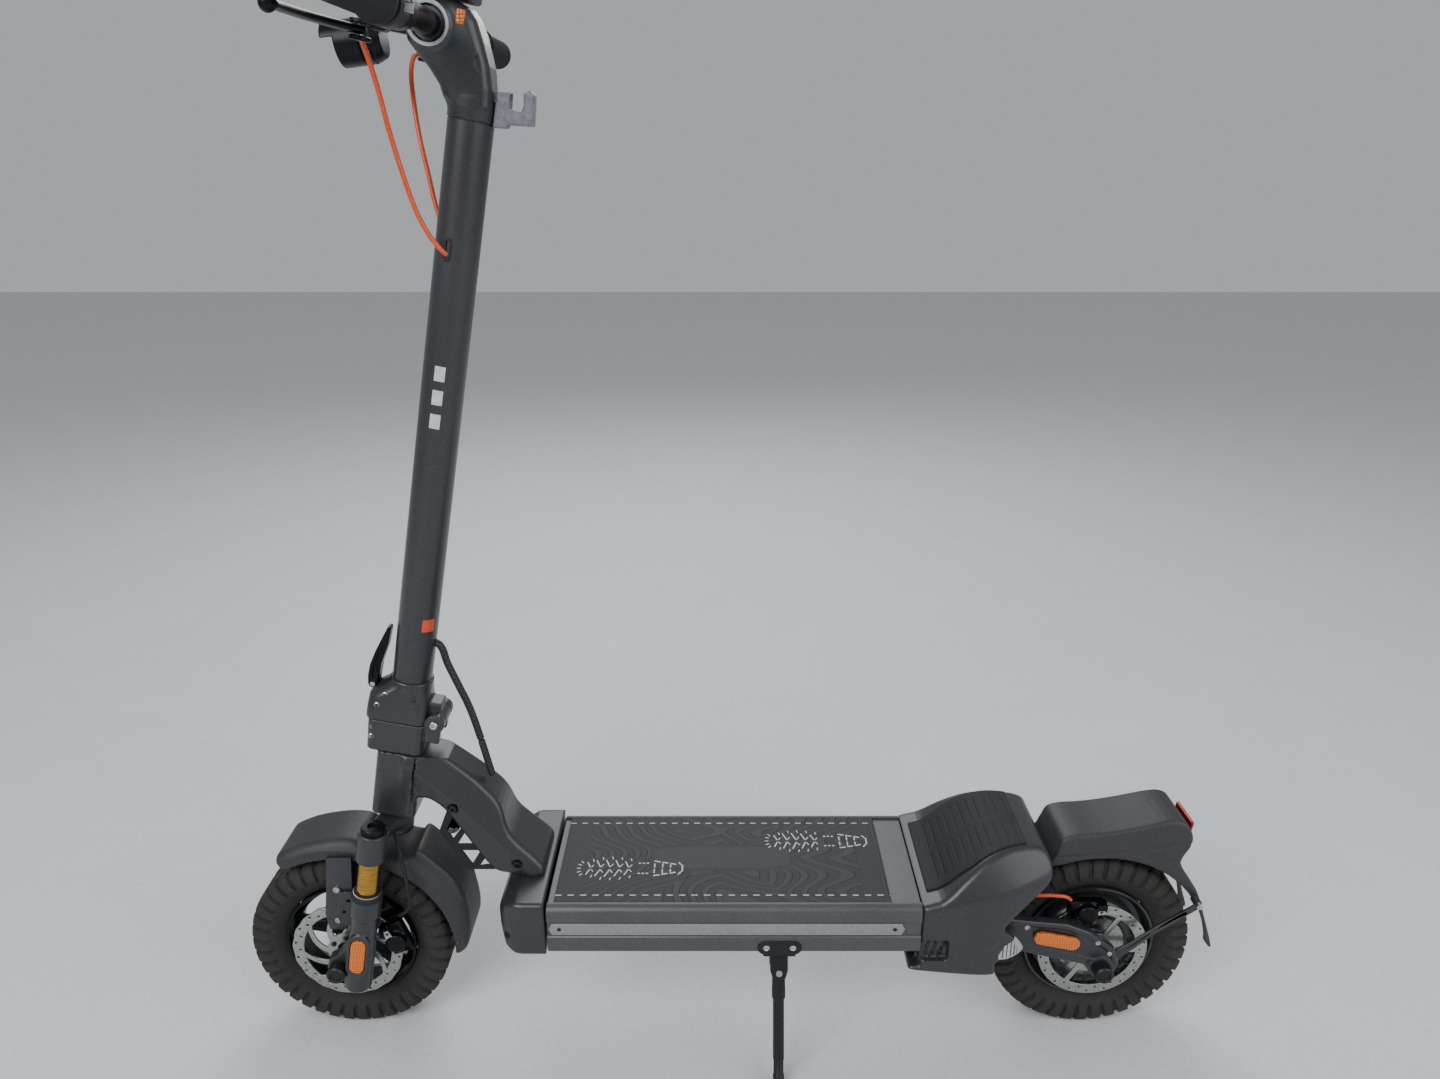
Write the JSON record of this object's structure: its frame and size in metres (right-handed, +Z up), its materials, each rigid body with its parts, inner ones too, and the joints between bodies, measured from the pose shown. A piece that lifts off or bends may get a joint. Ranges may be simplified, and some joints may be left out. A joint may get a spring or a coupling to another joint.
{
  "type": "electric kick scooter",
  "caption": "Folding electric kick scooter with a sprung fork, a swing arm, a hub motor in the rear wheel, disc brakes and a kickstand.",
  "frame": {"origin": "on the ground under the middle of the overall box", "axes": "+X forward, +Y to the rider's left, +Z up"},
  "size_m": [1.2304, 0.62, 1.2421],
  "materials": {
    "gunmetal": "satin gunmetal powder coat",
    "black_metal": "satin black paint",
    "black_alloy": "satin black anodised aluminium",
    "steel": "brushed steel",
    "gold": "gold anodised aluminium",
    "black_plastic": "matt moulded plastic",
    "grey_plastic": "satin moulded plastic",
    "rubber": "matt rubber",
    "tyre": "worn tread rubber",
    "amber": "amber prismatic plastic",
    "red": "red lens plastic",
    "cable_orange": "smooth orange housing",
    "lens": "clear lens",
    "battery_wrap": "shrink wrap",
    "screen": "dark gloss screen",
    "hook_grey": "textured grey plastic"
  },
  "bodies": {
    "frame": {"deck_frame": "gunmetal", "deck_mat": "rubber", "nose_casting": "gunmetal", "neck_casting": "gunmetal", "headset_bearings": "steel", "neck_bracket": "black_alloy", "frame_bolts": "black_metal", "horn": "black_plastic", "battery_pack": "battery_wrap", "controller": "steel", "charge_port": "black_plastic", "rear_casting": "gunmetal", "kick_pad": "rubber", "kickstand_mount": "black_metal", "swingarm_pin": "steel"},
    "charge_cap": {"charge_cap": "rubber"},
    "fork": {"steerer_crown": "gunmetal", "stanchions": "gold", "fold_base": "gunmetal", "fold_pin": "steel", "front_cable": "rubber"},
    "stem": {"fold_head": "gunmetal", "stem_tube": "gunmetal", "stem_head": "gunmetal", "handlebar": "black_alloy", "grips": "rubber", "side_markers": "amber", "display": "screen", "headlight_shell": "black_plastic", "headlight_lens": "lens", "bag_hook": "hook_grey", "lever_perches": "black_alloy", "control_housings": "black_plastic", "brake_cables": "cable_orange", "stem_loom": "rubber"},
    "latch": {"fold_lever": "black_alloy"},
    "left_lever": {"brake_lever_left": "black_alloy"},
    "right_lever": {"brake_lever_right": "black_alloy"},
    "throttle": {"throttle_lever": "black_plastic"},
    "signal": {"signal_switch": "black_plastic"},
    "fork_slider": {"fork_lowers": "gunmetal", "fork_wipers": "rubber", "front_axle": "black_metal", "front_fender": "grey_plastic", "front_reflectors": "amber", "front_caliper": "black_alloy"},
    "front_wheel": {"front_tyre": "tyre", "front_rim": "black_alloy", "front_rotor": "steel"},
    "arm": {"swing_arm": "gunmetal", "rear_fender": "grey_plastic", "tail_light": "red", "rear_reflectors": "amber", "rear_axle": "black_metal", "rear_caliper": "black_alloy", "rear_cable": "cable_orange"},
    "rear_wheel": {"rear_tyre": "tyre", "hub_motor": "black_metal", "rear_rotor": "steel"},
    "kickstand": {"kickstand_leg": "black_metal"}
  },
  "joints": [
    {"name": "steering", "type": "hinge", "parent": "frame", "child": "fork", "pos_m": [0.45075, 0, 0.1275], "axis": [-0.1908, 0, 0.9816], "range_deg": [-40, 40]},
    {"name": "stem_fold", "type": "hinge", "parent": "fork", "child": "stem", "pos_m": [0.35244, 0, 0.44457], "axis": [0, -1, 0], "range_deg": [0, 88], "deforming": ["stem_loom"]},
    {"name": "latch_open", "type": "hinge", "parent": "stem", "child": "latch", "pos_m": [0.42487, 0, 0.49124], "axis": [0, 1, 0], "range_deg": [0, 70]},
    {"name": "left_brake", "type": "hinge", "parent": "stem", "child": "left_lever", "pos_m": [0.32525, 0.112, 1.18193], "axis": [-0.1908, 0, 0.9816], "range_deg": [0, 15], "stiffness_Nm_per_rad": 2, "springref_deg": -5.73},
    {"name": "right_brake", "type": "hinge", "parent": "stem", "child": "right_lever", "pos_m": [0.32525, -0.112, 1.18193], "axis": [0.1908, 0, -0.9816], "range_deg": [0, 15], "stiffness_Nm_per_rad": 2, "springref_deg": -5.73},
    {"name": "throttle_push", "type": "hinge", "parent": "stem", "child": "throttle", "pos_m": [0.29029, -0.16, 1.17309], "axis": [0, -1, 0], "range_deg": [0, 25], "stiffness_Nm_per_rad": 0.2, "springref_deg": -5.73},
    {"name": "signal_slide", "type": "slide", "parent": "stem", "child": "signal", "axis": [0, 1, 0], "range_m": [-0.004, 0.004]},
    {"name": "fork_travel", "type": "slide", "parent": "fork", "child": "fork_slider", "axis": [-0.1908, 0, 0.9816], "range_m": [0, 0.016], "stiffness_N_per_m": 8000, "springref_m": -0.03, "deforming": ["front_cable"]},
    {"name": "front_spin", "type": "hinge", "parent": "fork_slider", "child": "front_wheel", "pos_m": [0.48775, 0, 0.1275], "axis": [0, 1, 0], "continuous": true},
    {"name": "arm_swing", "type": "hinge", "parent": "frame", "child": "arm", "pos_m": [-0.30925, 0, 0.19], "axis": [0, 1, 0], "range_deg": [0, 2.5], "stiffness_Nm_per_rad": 500, "springref_deg": -8.59, "deforming": ["rear_cable"]},
    {"name": "rear_spin", "type": "hinge", "parent": "arm", "child": "rear_wheel", "pos_m": [-0.46225, 0, 0.1275], "axis": [0, 1, 0], "continuous": true},
    {"name": "kickstand_fold", "type": "hinge", "parent": "frame", "child": "kickstand", "pos_m": [-0.05925, 0.0855, 0.14], "axis": [0, 0.9397, 0.342], "range_deg": [0, 85]},
    {"name": "cap_open", "type": "hinge", "parent": "frame", "child": "charge_cap", "pos_m": [0.24875, -0.1018, 0.224], "axis": [-1, 0, 0], "range_deg": [0, 110]}
  ]
}
